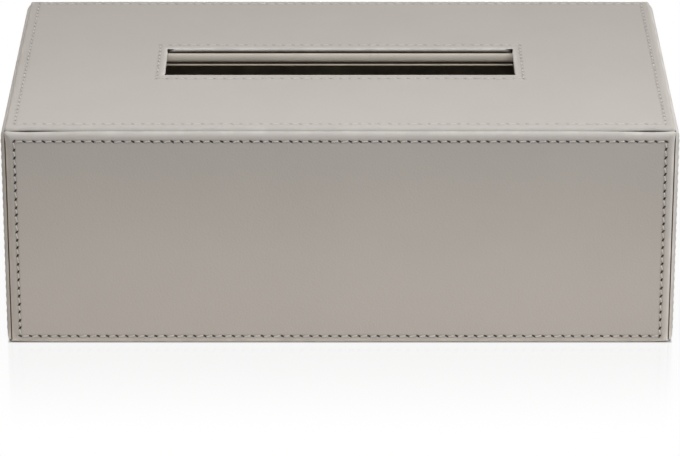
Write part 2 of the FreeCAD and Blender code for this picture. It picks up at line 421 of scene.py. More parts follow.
def panel_leather(settings):
    """Matt calf leather: fine grain, faint mottling, painted shade in the stitch holes, and edges lighter
    with wear and painted highlight.
    """
    finish = new_finish("panel_leather")
    mottle = finish.noise(60 * MM, 4.0)
    pores = finish.noise(settings.grain * 0.4)
    tone = finish.tones(mottle, settings.leather, 0.95, 1.05)
    scuff = finish.ramp(finish.noise(9 * MM, 3.0), 0.35, 0.75)
    # Turned edges lighter: wear together with painted highlight
    worn_and_lit = finish.mix(finish.mark("wear") * (0.4 + scuff * 0.5), tone, settings.wear)
    # Painted shade in the stitch holes, along the channels and in the slot's corner notches
    dark = finish.mix(finish.mark("pit"), worn_and_lit, settings.hole)
    height = finish.cells(settings.grain) * 0.6 + pores * 0.4
    return finish.surface(
        Base_Color=dark,
        Roughness=settings.roughness + (finish.noise(12 * MM, 3.0) - 0.5) * 0.12,
        Normal=finish.bump(height, 0.08 * MM),
        Specular_IOR_Level=0.35,
    )


def edging_leather(settings):
    """Cut leather strips, with a little longer grain and darker flecks."""
    finish = new_finish("edging_leather")
    flecks = finish.ramp(finish.noise(1.6 * MM, 3.0), 0.55, 0.8)
    # The strips' base colour holds painted light: it is lighter than the panels' leather
    tone = finish.tones(finish.noise(20 * MM, 3.0), settings.edging, 0.93, 1.05)
    height = finish.cells(settings.grain) * 0.6 + finish.noise(0.4 * MM) * 0.4
    return finish.surface(
        Base_Color=finish.mix(flecks * 0.35, tone, shade(settings.edging, 0.7)),
        Roughness=0.6 + flecks * 0.15,
        Normal=finish.bump(height, 0.04 * MM),
        Specular_IOR_Level=0.3,
    )


def sewing_thread(settings):
    """Two-ply thread: slanting plies that follow the strand, with painted shade between the plies and a
    slight sheen.
    """
    finish = new_finish("sewing_thread")
    turns = finish.mark("along") * PLY_TURNS + finish.mark("around")
    ply = finish.node("Math", {"operation": "PINGPONG"}, {0: turns, 1: 0.5}) * 2.0
    tone = finish.tones(finish.noise(4 * MM), settings.thread, 0.8, 1.16)
    # The darker stripes between the plies are painted shade in the creases between them
    return finish.surface(
        Base_Color=finish.mix(ply, shade(settings.thread, 0.8), tone),
        Roughness=0.55 - ply * 0.1,
        Normal=finish.bump(ply, 0.06 * MM),
        Sheen_Weight=0.2,
    )


def lining_suede(settings):
    """Napped lining: brushed light and dark patches over a fine nap."""
    finish = new_finish("lining_suede")
    brushed = finish.ramp(finish.noise(14 * MM, 4.0, 0.6), 0.3, 0.7)
    nap = finish.noise(0.6 * MM, 3.0, 0.7)
    tone = finish.tones(brushed, settings.lining, 0.86, 1.1)
    return finish.surface(
        Base_Color=finish.mix(nap * 0.4, tone, shade(settings.lining, 0.7)),
        Roughness=0.9 + nap * 0.1,
        Normal=finish.bump(nap, 0.08 * MM),
        Sheen_Weight=0.3,
        Specular_IOR_Level=0.15,
    )


def raw_board(settings):
    """Raw fibreboard: short fibres and darker specks."""
    finish = new_finish("raw_board")
    fibres = finish.noise(1.2 * MM, 5.0, 0.7)
    specks = finish.ramp(finish.noise(2.5 * MM), 0.6, 0.75)
    tone = finish.tones(fibres, settings.board, 0.75, 1.2)
    return finish.surface(
        Base_Color=finish.mix(specks * 0.5, tone, shade(settings.board, 0.55)),
        Roughness=0.85 + fibres * 0.1,
        Normal=finish.bump(fibres, 0.05 * MM),
        Specular_IOR_Level=0.2,
    )


def raw_card(settings):
    """Grey card with pulp flecks."""
    finish = new_finish("raw_card")
    pulp = finish.noise(0.9 * MM, 4.0, 0.65)
    return finish.surface(
        Base_Color=finish.tones(pulp, settings.card, 0.85, 1.12),
        Roughness=0.85 + pulp * 0.1,
        Normal=finish.bump(pulp, 0.03 * MM),
        Specular_IOR_Level=0.2,
    )


def studio_floor(settings, half_x, half_y):
    """White floor, partly lit and partly plain white to the eye, with a mirror image near the cover.

    Under the cover it is only lit, so that the line of contact stays dark.
    """
    finish = new_finish("studio_floor")
    x, y, _ = finish.parts(finish.place())
    away = (x.math("ABSOLUTE") - half_x).math("MAXIMUM", y.math("ABSOLUTE") - half_y)
    near = 1.0 - finish.ramp(away, 0.0, settings.mirror_reach)
    path = finish.node("LightPath", output="Is Camera Ray")
    lit = finish.node("BsdfDiffuse", values={"Color": rgba(settings.floor)})
    glow = finish.node("Emission", values={"Color": WHITE, "Strength": 1.0})
    mirror = finish.node("BsdfGlossy", values={"Color": WHITE, "Roughness": MIRROR_ROUGHNESS})
    outside = finish.ramp(away, -CONTACT_REACH, 0.0)
    white = path * (1.0 - near * (1.0 - settings.floor_glow)) * outside
    seen = finish.node("MixShader", values={0: white, 1: lit, 2: glow})
    mirrored = path * near * settings.floor_mirror
    return finish.finished(finish.node("MixShader", values={0: mirrored, 1: seen, 2: mirror}))


def studio_world(settings):
    """Even light from all round; plain white to the eye, in mirrors and through glass."""
    finish = Finish(bpy.data.worlds.new("studio"))
    camera, glossy, through = (
        finish.node("LightPath", output=f"Is {kind} Ray")
        for kind in ("Camera", "Glossy", "Transmission")
    )
    seen = camera.math("MAXIMUM", glossy).math("MAXIMUM", through)
    plain = finish.node("Background", values={"Color": WHITE, "Strength": settings.ambient})
    white = finish.node("Background", values={"Color": WHITE, "Strength": 1.0})
    return finish.finished(finish.node("MixShader", values={0: seen, 1: plain, 2: white}))


# Surfaces


class Seat:
    """Local frame of a flat node: u along, v up and n outward from the middle of its outer face."""

    def __init__(self, node, panel):
        low, high = (np.array(corner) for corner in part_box(node))
        self.axes = np.array(AXES[panel], float)
        self.half_u, self.half_v, half_n = np.abs(self.axes) @ (high - low) / 2
        self.depth = 2 * half_n
        self.origin = (low + high) / 2 + self.axes[2] * half_n

    def row(self, local):
        """Points of the cover's frame for local points (u, v, n)."""
        return self.origin + local @ self.axes

    def offset(self, other):
        """Place (u, v) of another seat's origin in this one."""
        return (self.axes @ (other.origin - self.origin))[:2]


def step_counts(runs, step):
    """Numbers of steps, one at least, that divide runs into about the given step."""
    return np.maximum(np.rint(np.asarray(runs) / step), 1).astype(int)


def spaced(knots, counts):
    """Values with counts[i] even steps from knots[i] to the next knot."""
    marks = np.concatenate([[0], np.cumsum(counts)])
    return np.interp(np.arange(marks[-1] + 1), marks, knots)


def even_breaks(counts):
    """Even steps from -1 to 1 in each direction."""
    return [spaced((-1, 1), (count,)) for count in counts]


def slotted_breaks(halves, slot_halves, sides, counts):
    """Steps from -1 to 1 in each direction: even beside a slot on both sides, and even along it."""
    shares = np.divide(slot_halves, halves)
    return [spaced((-1, -s, s, 1), (n, c, n)) for s, n, c in zip(shares, sides, counts)]


def edge_bow(start, middle, end, opening=0.0):
    """How far an edge stands out along its run of -1 to 1.

    It goes from the middle's value to those of the start and the end by a high power of the run. An opening
    near each corner grows with the square of the distance from it and dies away as an exponential.
    """
    def bow(run, half):
        distance = (1 - np.abs(run)) * half / GROOVE_REACH
        gape = opening * distance ** 2 * np.exp(2 - 2 * distance)
        return middle + (np.where(run < 0, start, end) - middle) * run ** CORNER_POWER - gape
    return bow


RimPoints = namedtuple("RimPoints", "reach turn bow notch flat")
StitchLoop = namedtuple("StitchLoop", "holes slits half middle")


class Rim:
    """Rings round a rectangle with rounded corners, counter-clockwise from the lower left.

    A ring's point is reach times the straight half-lengths plus turn times the corner radius, where reach
    runs from -1 to 1 along a side, and turn points straight out from a side and sweeps round a corner. Along
    turn, a point also moves by its side's bow, which fades away from the edge, and by a notch at the corners.
    Each side's flatness is the share of the roll's height that it lacks.
    """

    def __init__(self, half_u, half_v, breaks_u, breaks_v, corner, least,
                 sign=1, bows=None, fade=1.0, flat=(0,) * 4):
        self.half = np.array([half_u, half_v])
        self.breaks = (breaks_u, breaks_v)
        self.corner = corner
        self.least = least
        self.sign = sign
        self.bows = bows or (edge_bow(0.0, 0.0, 0.0),) * 4
        self.fade = fade
        self.flat = flat
        self.samples = {cuts: self.sampled(cuts) for cuts in (1, STITCH_CUTS)}

    def sampled(self, cuts):
        """Reach, turn, bow, notch and flatness of every point, with each step cut into so many parts."""
        sweep = np.arange(CORNER_STEPS * cuts) / (CORNER_STEPS * cuts) * math.pi / 2
        ones = np.ones_like(sweep)
        quarter = np.array([[0.0, -1.0], [1.0, 0.0]])
        spin = np.eye(2)
        reach, turn, bow, notch, flat = [], [], [], [], []
        for side in range(4):
            breaks = self.breaks[side % 2]
            half = self.half[side % 2]
            steps = len(breaks) - 1
            run = np.interp(np.arange(steps * cuts) / cuts, np.arange(steps + 1), breaks)
            side_reach = np.stack([run, np.full_like(run, -1.0)])
            side_turn = np.stack([np.zeros_like(run), np.full_like(run, -1.0)])
            corner_turn = np.stack([np.sin(sweep), -np.cos(sweep)])
            reach.append(spin @ np.hstack([side_reach, np.stack([ones, -ones])]))
            turn.append(spin @ np.hstack([side_turn, corner_turn]))
            bow += [self.bows[side](run, half), self.bows[side](ones, half)]
            notch += [np.interp(np.abs(run), [abs(breaks[1]), 1.0], [0.0, 1.0]), ones]
            ends = self.flat[side], self.flat[(side + 1) % 4]
            flat += [np.full_like(run, ends[0]), np.interp(sweep, [0.0, math.pi / 2], ends)]
            spin = quarter @ spin
        return RimPoints(np.hstack(reach).T, np.hstack(turn).T, *map(np.concatenate, (bow, notch, flat)))

    def ring(self, inset, cuts, depth=0.0):
        """Points (u, v) of the ring at an inset from the edge, notched to a depth at the corners."""
        points = self.samples[cuts]
        radius = max(self.corner - inset, self.least) if self.sign > 0 else self.corner
        out = radius + points.bow * max(1 - inset / self.fade, 0.0) + points.notch * depth
        return points.reach * (self.half - self.sign * inset - radius) + points.turn * out[:, None]

    def partners(self, sides):
        """For each point of a coarse ring, its point on the four sides of a square-cornered border."""
        pairs = []
        for side, ids in enumerate(sides):
            pairs += [ids, np.full(CORNER_STEPS, sides[(side + 1) % 4][0])]
        return np.concatenate(pairs)


class Shell:
    """Mesh grown from rings and grids; each point carries marks for its material."""

    def __init__(self):
        self.points = []
        self.marks = []
        self.faces = []
        self.count = 0

    def add(self, points, marks=None):
        """Adds points and gives their numbers."""
        self.points.append(points)
        self.marks.append(np.zeros((len(points), 2)) if marks is None else marks)
        self.count += len(points)
        return np.arange(self.count - len(points), self.count)

    def fan(self, ring, partners, ring_first):
        """Faces between a ring and its points' partners: a quad, or a triangle where neighbours share one."""
        ahead = np.roll(ring, -1)
        partners_ahead = np.roll(partners, -1)
        same = partners == partners_ahead
        quads = np.stack([ring, ahead, partners_ahead, partners], axis=1)[~same]
        triangles = np.stack([ring, ahead, partners], axis=1)[same]
        order = 1 if ring_first else -1
        self.faces += [quads[:, ::order], triangles[:, ::order]]

    def join(self, first, second):
        """Faces between two rings, of which one may have STITCH_CUTS times as many points."""
        if len(first) == len(second):
            self.fan(first, second, True)
        elif len(first) > len(second):
            self.fan(first, second[coarse_index(len(first), len(second))], True)
        else:
            self.fan(second, first[coarse_index(len(second), len(first))], False)

    def grid(self, lines_u, lines_v, height, face_up, hole=None):
        """Flat grid on lines of u and v; hole gives the steps left out. Returns the point numbers."""
        u, v = np.meshgrid(lines_u, lines_v, indexing="ij")
        ids = self.add(np.stack([u, v, np.full_like(u, height)], axis=-1).reshape(-1, 3)).reshape(u.shape)
        quads = np.stack([ids[:-1, :-1], ids[1:, :-1], ids[1:, 1:], ids[:-1, 1:]], axis=-1)
        keep = np.ones(quads.shape[:2], bool)
        if hole:
            keep[hole] = False
        self.faces.append(quads[keep][:, ::1 if face_up else -1])
        return ids

    def rings(self, rim, profile, fine=(), dress=None):
        """Rings of a profile of (inset, height, notch, roll), joined in order.

        The rings numbered in fine have more points, and dress gives their sinking and every ring's marks. The
        numbers of the first and the last ring's points are given back.
        """
        ids = []
        for index, (inset, height, notch, roll) in enumerate(profile):
            cuts = STITCH_CUTS if index in fine else 1
            ring = rim.ring(inset, cuts, notch)
            sink, marks = dress(ring, inset, index in fine) if dress else (0.0, None)
            # Painted shade in the notches at the slot's corners
            if notch:
                marks[:, 0] = rim.samples[cuts].notch * min(notch / NOTCH_FULL_SHADE, 1.0)
            level = height * (1 - roll * rim.samples[cuts].flat)
            points = np.column_stack([ring, level - sink])
            ids.append(self.add(points, marks))
            if index:
                self.join(ids[-2], ids[-1])
        return ids[0], ids[-1]


def coarse_index(fine, coarse):
    """Number of the nearest coarse point for each fine one."""
    cuts = fine // coarse
    return (np.arange(fine) + cuts // 2) // cuts % coarse


def border(ids):
    """The four sides of a grid of point numbers, counter-clockwise, each without its last point."""
    return ids[:-1, 0], ids[-1, :-1], ids[:0:-1, -1], ids[0, :0:-1]


def sheet(rim, profile, fine=(), dress=None, slot=None):
    """Closed sheet: a grid behind, the rings of its rim from back to front, and a grid in front.

    A slot's rings lead from the front grid to the back grid. Each grid starts a margin inside the rings.
    """
    shell = Shell()
    counts = [len(breaks) - 1 for breaks in rim.breaks]
    first, last = shell.rings(rim, profile, fine, dress)
    if slot:
        slot_rim, slot_profile, slot_fine, slot_dress, sides = slot
        slot_first, slot_last = shell.rings(slot_rim, slot_profile, slot_fine, slot_dress)
    for at_front, ring, (inset, height, *_) in ((False, first, profile[0]), (True, last, profile[-1])):
        outer = rim.half - inset - GRID_MARGIN
        if slot:
            slot_inset = slot_profile[0 if at_front else -1][0]
            inner = slot_rim.half + slot_inset + GRID_MARGIN
            lines = [
                spaced((-o, -i, i, o), (n, c - 2 * n, n))
                for o, i, n, c in zip(outer, inner, sides, counts)
            ]
            hole = tuple(slice(n, c - n) for n, c in zip(sides, counts))
        else:
            lines = [spaced((-o, o), (c,)) for o, c in zip(outer, counts)]
            hole = None
        ids = shell.grid(*lines, height, at_front, hole)
        shell.fan(ring, rim.partners(border(ids)), at_front)
        if slot:
            edge = ids[sides[0]:counts[0] - sides[0] + 1, sides[1]:counts[1] - sides[1] + 1]
            slot_ring = slot_first if at_front else slot_last
            shell.fan(slot_ring, slot_rim.partners(border(edge)), not at_front)
    return shell


def pitches(panel, stitches):
    """Stitch pitch along and up a panel."""
    return stitches.pitch, stitches.pitch if panel == "top" else stitches.upright_pitch


def stitch_line(half_u, half_v, offset, panel, stitches):
    """Holes round a rectangle and their slits, both a little uneven as sewn by hand.

    Each side has holes at its pitch, moved along it by a random share of the spread, except at the corner. A
    slit is the direction of travel turned back by the slant and a random share of the slant's spread.
    """
    uneven = np.random.default_rng(STITCH_SEED)
    corners = np.array([[-1, -1], [1, -1], [1, 1], [-1, 1]]) * (half_u, half_v) + offset
    holes, slits = [], []
    for side, (start, end) in enumerate(zip(corners, np.roll(corners, -1, axis=0))):
        run = np.linalg.norm(end - start)
        count = step_counts(run, pitches(panel, stitches)[side % 2])
        travel = (end - start) / run
        shift, turn = uneven.uniform(-1, 1, (2, count))
        shift[0] = 0.0
        along = np.arange(count) * run / count + stitches.hole_spread * shift
        slant = stitches.slant + stitches.slant_spread * turn
        holes.append(start + along[:, None] * travel)
        slits.append(np.cos(slant)[:, None] * travel + np.sin(slant)[:, None] * (travel[1], -travel[0]))
    return np.concatenate(holes), np.concatenate(slits)


def stitched(holes, slits, line_half, offset, stitches, dark=(1.0, 1.0), worn_and_lit=1.0, rubbed_and_lit=()):
    """Function that gives a ring's sinking and its marks: painted shade for the holes and the channel, and
    wear with painted highlight.

    The channel sinks as a bell curve of the distance to the stitch line, and each hole as a bell curve of the
    distance to its slit, measured in units of the slit's half length and half width. The painted shade of the
    holes is as strong as told for the rows along u and along v. The wear and painted highlight fade as a bell
    curve of the distance from the edge, and likewise from each further lightened edge, told by its v, its
    share and its reach.
    """
    def dress(ring, inset, fine):
        wear = np.full(len(ring), worn_and_lit * math.exp(-(inset / WEAR_REACH) ** 2))
        for v, most, reach in rubbed_and_lit:
            wear = np.maximum(wear, most * np.exp(-((ring[:, 1] - v) / reach) ** 2))
        if not fine:
            return 0.0, np.column_stack([np.zeros(len(ring)), wear])
        away = np.abs(np.abs(ring - offset) - line_half)
        outside = np.maximum(np.abs(ring - offset) - line_half, 0.0).max(axis=1)
        to_line = np.maximum(away.min(axis=1), outside)
        channel = np.exp(-(to_line / (CHANNEL_SPREAD * stitches.channel)) ** 2)
        gap = ring[:, None, :] - holes[None]
        along = (gap * slits).sum(axis=2) / (stitches.hole_length / 2)
        across = (gap * slits[:, ::-1] * (1, -1)).sum(axis=2) / (stitches.hole_width / 2)
        distance = np.sqrt((along ** 2 + across ** 2).min(axis=1))
        hole = np.exp(-HOLE_STEEPNESS * distance ** 2)
        # Painted shade: dark in and round each slit, and fainter along the channel beside the thread
        row_shade = np.where(away[:, 0] < away[:, 1], dark[1], dark[0])
        shadow = np.clip((HOLE_RIM - distance) / HOLE_RIM_WIDTH, 0.0, 1.0)
        pit = row_shade * np.maximum(shadow, CHANNEL_SHADE * channel)
        sink = stitches.channel_depth * channel + stitches.hole_depth * hole
        return sink, np.column_stack([pit, wear])
    return dress


def outline(inset, height, notch=0.0, roll=0.0):
    """Profile rows (inset, height, notch, roll), where roll is 1 on a rolled edge."""
    return np.column_stack(np.broadcast_arrays(inset, height, notch, roll))


def rolled(sweep, reach, drop, turn):
    """Points of a rolled edge: an ellipse's arc that leaves the face level and ends at a turn."""
    inset = reach * (1 - np.sin(sweep) / math.sin(turn))
    height = drop * (np.cos(sweep) - 1) / (1 - math.cos(turn))
    return outline(inset, height, 0.0, 1.0)


def sweep_at(inset, reach, turn):
    """Angle on a rolled edge's ellipse at an inset from the tip, zero on the face."""
    return np.arcsin(np.maximum(1 - inset / reach, 0.0) * math.sin(turn))


def turned_edge(reach, drop, turn, depth, start):
    """Profile of a turned edge: the back, a bevel, and the roll from the tip up to an inset."""
    sweep = np.linspace(turn, sweep_at(start, reach, turn), ROLL_RINGS, endpoint=start >= reach)
    return np.concatenate([outline([depth - drop], -depth), rolled(sweep, reach, drop, turn)])


def stitched_band(start, end, reach, drop, turn):
    """Rings of a stitched band between two insets, the first of them on the roll of the edge or past it."""
    insets = np.linspace(start, end, BAND_RINGS)
    heights = rolled(sweep_at(insets, reach, turn), reach, drop, turn)[:, 1]
    return outline(insets, heights, 0.0, 1.0)


def slot_edge(roll, lip, undercut, leather, depth, notch):
    """Profile of the slot's lip from the face to the back: a quarter round and an undercut.

    The notch at the corners grows with the square of the lip's turn, and stays in the leather below the lip.
    """
    sweep = np.linspace(0.0, math.pi / 2, LIP_RINGS)
    under = np.linspace(0.0, math.pi / 2, ROUND_RINGS)[1:]
    rise = (depth - lip) / 2
    turned = np.clip((sweep - NOTCH_START) / (math.pi / 2 - NOTCH_START), 0.0, 1.0)
    spare = leather - undercut
    return np.concatenate([
        outline(roll - roll * np.sin(sweep), roll * np.cos(sweep) - roll, notch * turned ** 2),
        outline([0.0], -lip, notch),
        outline(undercut - undercut * np.cos(under), -lip - rise * np.sin(under), spare),
        outline([undercut], -depth, spare),
    ])


def pocket(inset, leather, depth, turn_in, skived):
    """Profile of the pocket round the stiffener, from the back of the face to the end of the turn-in."""
    return outline(
        inset + np.array([0.0, 0.0, turn_in, turn_in]),
        [-leather, skived - depth, skived - depth, -depth],
    )


def quarter_round(radius):
    """Insets and rises of a quarter circle, from its foot to its side."""
    sweep = np.linspace(0.0, math.pi / 2, ROUND_RINGS)
    return radius * (1 - np.sin(sweep)), radius * (1 - np.cos(sweep))


def rounded_edge(radius, depth):
    """Profile of a sheet's rounded edge from back to front."""
    inset, rise = quarter_round(radius)
    return np.concatenate([outline(inset, rise - depth), outline(inset[::-1], -rise[::-1])])


# Pieces


def new_object(name, data):
    """Object of a mesh, a lamp or a camera in the scene."""
    made = bpy.data.objects.new(name, data)
    bpy.context.scene.collection.objects.link(made)
    return made


def new_piece(name, points, faces, material, nodes, marks=None):
    """Mesh object at the origin that rides on the body and stands for its nodes."""
    mesh = bpy.data.meshes.new(name)
    mesh.from_pydata(points.tolist(), [], [face for group in faces for face in group.tolist()])
    for key, values in (marks or {}).items():
        attribute = mesh.attributes.new(key, "FLOAT", "POINT")
        attribute.data.foreach_set("value", np.ascontiguousarray(values, np.float32))
    mesh.update()
    mesh.shade_smooth()
    mesh.set_sharp_from_angle(angle=SHARP_ANGLE)
    mesh.materials.append(material)
    piece = new_object(name, mesh)
    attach(piece, BODY)
    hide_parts(*nodes)


def shell_piece(name, shell, seat, material, node):
    """Piece made of a shell in a seat's frame."""
    # The marks: painted shade, then wear with painted highlight
    pit, wear = np.concatenate(shell.marks).T
    points = seat.row(np.concatenate(shell.points))
    new_piece(name, points, shell.faces, material, [node], {"pit": pit, "wear": wear})


def property_groups():
    """The scene's property groups, in the order of SETTINGS."""
    return [getattr(bpy.context.scene, key) for key in SETTINGS]


def slot_half(sizes):
    """Half length and half width of the slot between its leather lips."""
    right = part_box("slot_edging_right")[0].x - sizes.end_shy
    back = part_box("slot_edging_back")[0].y + sizes.edging_proud
    return np.array([right, back])


def stitch_loop(node, panel, seat, stitches):
    """Holes, slits, half sizes and middle (u, v) of a thread loop in a panel's seat."""
    loop = Seat(node, panel)
    half = np.array([loop.half_u, loop.half_v]) - stitches.channel / 2
    middle = seat.offset(loop)
    return StitchLoop(*stitch_line(*half, middle, panel, stitches), half, middle)


def wall_rim(panel, seat, half, sizes, stitches):
    """Rim of a wall: drawn back along its upright edges, and flatter along its foot."""
    breaks = even_breaks(step_counts(2 * half, pitches(panel, stitches)))
    swell = sizes.edge_swell
    gap = -sizes.corner_gap
    opening = sizes.groove_opening if panel in ("front", "back") else 0.0
    bows = (
        edge_bow(gap, 0.0, gap),
        edge_bow(gap, gap, swell),
        edge_bow(swell, swell, swell, opening),
        edge_bow(swell, gap, gap),
    )
    flat = (FOOT_FLATNESS, 0.0, 0.0, 0.0)
    corner = (sizes.wall_corner, sizes.inner_corner)
    return Rim(seat.half_u, seat.half_v, *breaks, *corner, 1, bows, sizes.wall_reach, flat)


def top_rim(seat, half, slot_line, sizes, stitches):
    """Rim of the top in steps that suit the slot, and the numbers of steps beside and along the slot."""
    counts = step_counts(2 * slot_line, stitches.pitch)
    sides = step_counts(half - slot_line, stitches.pitch)
    breaks = slotted_breaks(half, slot_line, sides, counts)
    swell = (sizes.edge_swell,) * 3
    bows = (edge_bow(*swell, sizes.groove_opening), edge_bow(*swell)) * 2
    corner = (sizes.top_corner, sizes.inner_corner)
    return Rim(seat.half_u, seat.half_v, *breaks, *corner, 1, bows, sizes.wall_reach), sides, counts


def slot_rings(seat, leather, slot_line, counts, dress, sizes):
    """Rim, profile, fine rings and dress of the slot: a stitched band, a notched lip and a pocket's edge."""
    lip_half = slot_half(sizes)
    knees = 1 - sizes.notch_width / lip_half
    breaks = [spaced((-1, -knee, knee, 1), (1, count - 2, 1)) for knee, count in zip(knees, counts)]
    rim = Rim(*lip_half, *breaks, sizes.slot_corner, sizes.slot_corner, -1)
    margin = slot_line[0] - lip_half[0]
    start = margin + SLOT_BAND_HALF
    band = outline(np.linspace(start, margin - SLOT_BAND_HALF, BAND_RINGS), 0.0)
    roll = (sizes.slot_roll, sizes.slot_lip, sizes.slot_undercut)
    lip = slot_edge(*roll, leather, seat.depth, sizes.slot_notch)
    inside = pocket(leather, leather, seat.depth, sizes.turn_in, sizes.turn_in_skived)[::-1]
    profile = np.concatenate([outline([start + BAND_MARGIN], 0.0), band, lip, inside])
    return rim, profile, range(1, 1 + BAND_RINGS), dress


def panel_shell(panel, sizes, stitches):
    """Stitched leather skin of one panel, with a pocket for its stiffener and, in the top, the slot."""
    seat = Seat(f"{panel}_leather", panel)
    card = Seat(f"{panel}_stiffener", panel)
    leather = seat.depth - card.depth
    is_top = panel == "top"
    # On the top the holes' painted shade is weaker, and its edges get less wear and painted highlight
    dark, worn_and_lit = ((stitches.top_hole_shade, stitches.end_hole_shade), TOP_WEAR_AND_HIGHLIGHT) if is_top else ((1.0, 1.0), 1.0)
    reach, turn = (sizes.top_reach, sizes.top_turn) if is_top else (sizes.wall_reach, sizes.wall_turn)
    # Painted highlight along the walls' lower edges, for the light from the white floor
    rubbed_and_lit = [] if is_top else [(-seat.half_v, FOOT_HIGHLIGHT, FOOT_REACH)]
    # Wear and painted highlight along the end walls' upper edges
    if panel in ("left", "right"):
        rubbed_and_lit.append((seat.half_v, GRIP_WEAR_AND_HIGHLIGHT, GRIP_REACH))

    loop = stitch_loop(f"{panel}_stitching", panel, seat, stitches)
    dress = stitched(*loop, stitches, dark, worn_and_lit, rubbed_and_lit)
    card_inset = seat.half_u - card.half_u
    inside = pocket(card_inset, leather, seat.depth, sizes.turn_in, sizes.turn_in_skived)
    edge = turned_edge(reach, sizes.roll_drop, turn, seat.depth, BAND_START)
    band = stitched_band(BAND_START, BAND_END, reach, sizes.roll_drop, turn)
    profile = np.concatenate([inside, edge, band, outline([BAND_END + BAND_MARGIN], 0.0)])
    first = len(inside) + len(edge)
    fine = range(first, first + BAND_RINGS)
    if not is_top:
        rim = wall_rim(panel, seat, loop.half, sizes, stitches)
        return seat, sheet(rim, profile, fine, dress)

    slot_loop = stitch_loop("slot_stitching", panel, seat, stitches)
    rim, sides, counts = top_rim(seat, loop.half, slot_loop.half, sizes, stitches)
    slot_dress = stitched(*slot_loop, stitches, dark)
    slot = (*slot_rings(seat, leather, slot_loop.half, counts, slot_dress, sizes), sides)
    return seat, sheet(rim, profile, fine, dress, slot)


def thread_piece(name, node, panel, stitches, material):
    """Stitches of one loop: a bent tube from the fore end of each slit to the back end of the next.

    A tube's middle line rises from one hole and dives into the next as a high power of the distance from its
    middle, and its section is an ellipse that narrows with that power too.
    """
    seat = Seat(f"{panel}_leather", panel)
    holes, slits, *_ = stitch_loop(node, panel, seat, stitches)
    reach = slits * stitches.hole_length * THREAD_START
    start = holes + reach
    end = np.roll(holes, -1, axis=0) - reach
    t = np.linspace(0.0, 1.0, THREAD_SECTIONS)
    bend = np.abs(2 * t - 1) ** THREAD_POWER
    turn = (np.arange(THREAD_SIDES) + 0.5) / THREAD_SIDES
    bearing = 2 * math.pi * turn - math.pi / 2
    travel = end - start
    run = np.linalg.norm(travel, axis=1, keepdims=True)
    side = np.column_stack([-travel[:, 1], travel[:, 0]]) / run
    centre = start[:, None] + travel[:, None] * t[None, :, None]
    width = stitches.thread_width / 2 * (1 - THREAD_TAPER * bend)
    uv = centre[:, :, None] + side[:, None, None] * (width[:, None] * np.cos(bearing))[None, :, :, None]
    middle_height = stitches.thread_proud - stitches.thread_height / 2
    rise = middle_height - (middle_height + stitches.thread_dive) * bend
    n = rise[:, None] + stitches.thread_height / 2 * np.sin(bearing)
    local = np.concatenate([uv, np.broadcast_to(n[None, :, :, None], uv.shape[:3] + (1,))], axis=-1)
    ids = np.arange(local[..., 0].size).reshape(local.shape[:3])
    around = np.roll(ids, -1, axis=2)
    tubes = np.stack([ids[:, :-1], around[:, :-1], around[:, 1:], ids[:, 1:]], axis=-1).reshape(-1, 4)
    faces = [tubes, ids[:, 0, ::-1], ids[:, -1]]
    marks = {
        "along": np.broadcast_to((run * t)[:, :, None], ids.shape).reshape(-1),
        "around": np.broadcast_to(turn, ids.shape).reshape(-1),
    }
    new_piece(name, seat.row(local.reshape(-1, 3)), faces, material, [node], marks)


def strip_piece(name, node, sections, material):
    """Strip of leather edging: sections joined in order and closed at both ends."""
    shell = Shell()
    rings = [shell.add(section) for section in sections]
    for first, second in zip(rings, rings[1:]):
        shell.fan(first, second, True)
    shell.faces += [rings[0][None, ::-1], rings[-1][None]]
    new_piece(name, np.concatenate(shell.points), shell.faces, material, [node])


def bar_sections(node, radius):
    """Sections of a bar with rounded edges: a rounded rectangle along the node, drawn in at both ends."""
    low, high = (np.array(corner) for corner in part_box(node))
    long = int(np.argmax(high - low))
    across = [(long + 1) % 3, (long + 2) % 3]
    half = (high - low)[across] / 2
    rim = Rim(*half, *even_breaks((1, 1)), radius, radius * LEAST_ROUND)
    inset, rise = quarter_round(radius)
    travel = np.concatenate([low[long] + rise, high[long] - rise[::-1]])
    for at, drawn in zip(travel, np.concatenate([inset, inset[::-1]])):
        points = np.full((len(rim.samples[1].reach), 3), at)
        points[:, across] = rim.ring(drawn, 1) + ((low + high) / 2)[across]
        yield points


def bead_sections(node, side):
    """Both ends of a slot strip with a flat back and a full face: half a superellipse."""
    seat = Seat(node, side)
    sweep = np.linspace(-math.pi / 2, math.pi / 2, BEAD_STEPS)
    v = seat.half_v * np.sign(np.sin(sweep)) * np.abs(np.sin(sweep)) ** (2 / BEAD_POWER)
    n = -seat.depth * np.abs(np.cos(sweep)) ** (2 / BEAD_POWER)
    return [seat.row(np.column_stack([np.full_like(v, u), v, n])) for u in (-seat.half_u, seat.half_u)]


# Operators


class COVER_OT_panels(bpy.types.Operator):
    """Build the five stitched leather panels"""

    bl_idname = "cover.panels"
    bl_label = "Leather panels"

    def execute(self, context):
        sizes, stitches, finish, _ = property_groups()
        material = panel_leather(finish)
        for panel in PANELS:
            seat, shell = panel_shell(panel, sizes, stitches)
            shell_piece(f"{panel}_skin", shell, seat, material, f"{panel}_leather")
        return {"FINISHED"}


class COVER_OT_stitches(bpy.types.Operator):
    """Sew the stitches round the panels and the slot"""

    bl_idname = "cover.stitches"
    bl_label = "Stitches"

    def execute(self, context):
        _, stitches, finish, _ = property_groups()
        material = sewing_thread(finish)
        for panel in PANELS:
            thread_piece(f"{panel}_stitches", f"{panel}_stitching", panel, stitches, material)
        thread_piece("slot_stitches", "slot_stitching", "top", stitches, material)
        return {"FINISHED"}


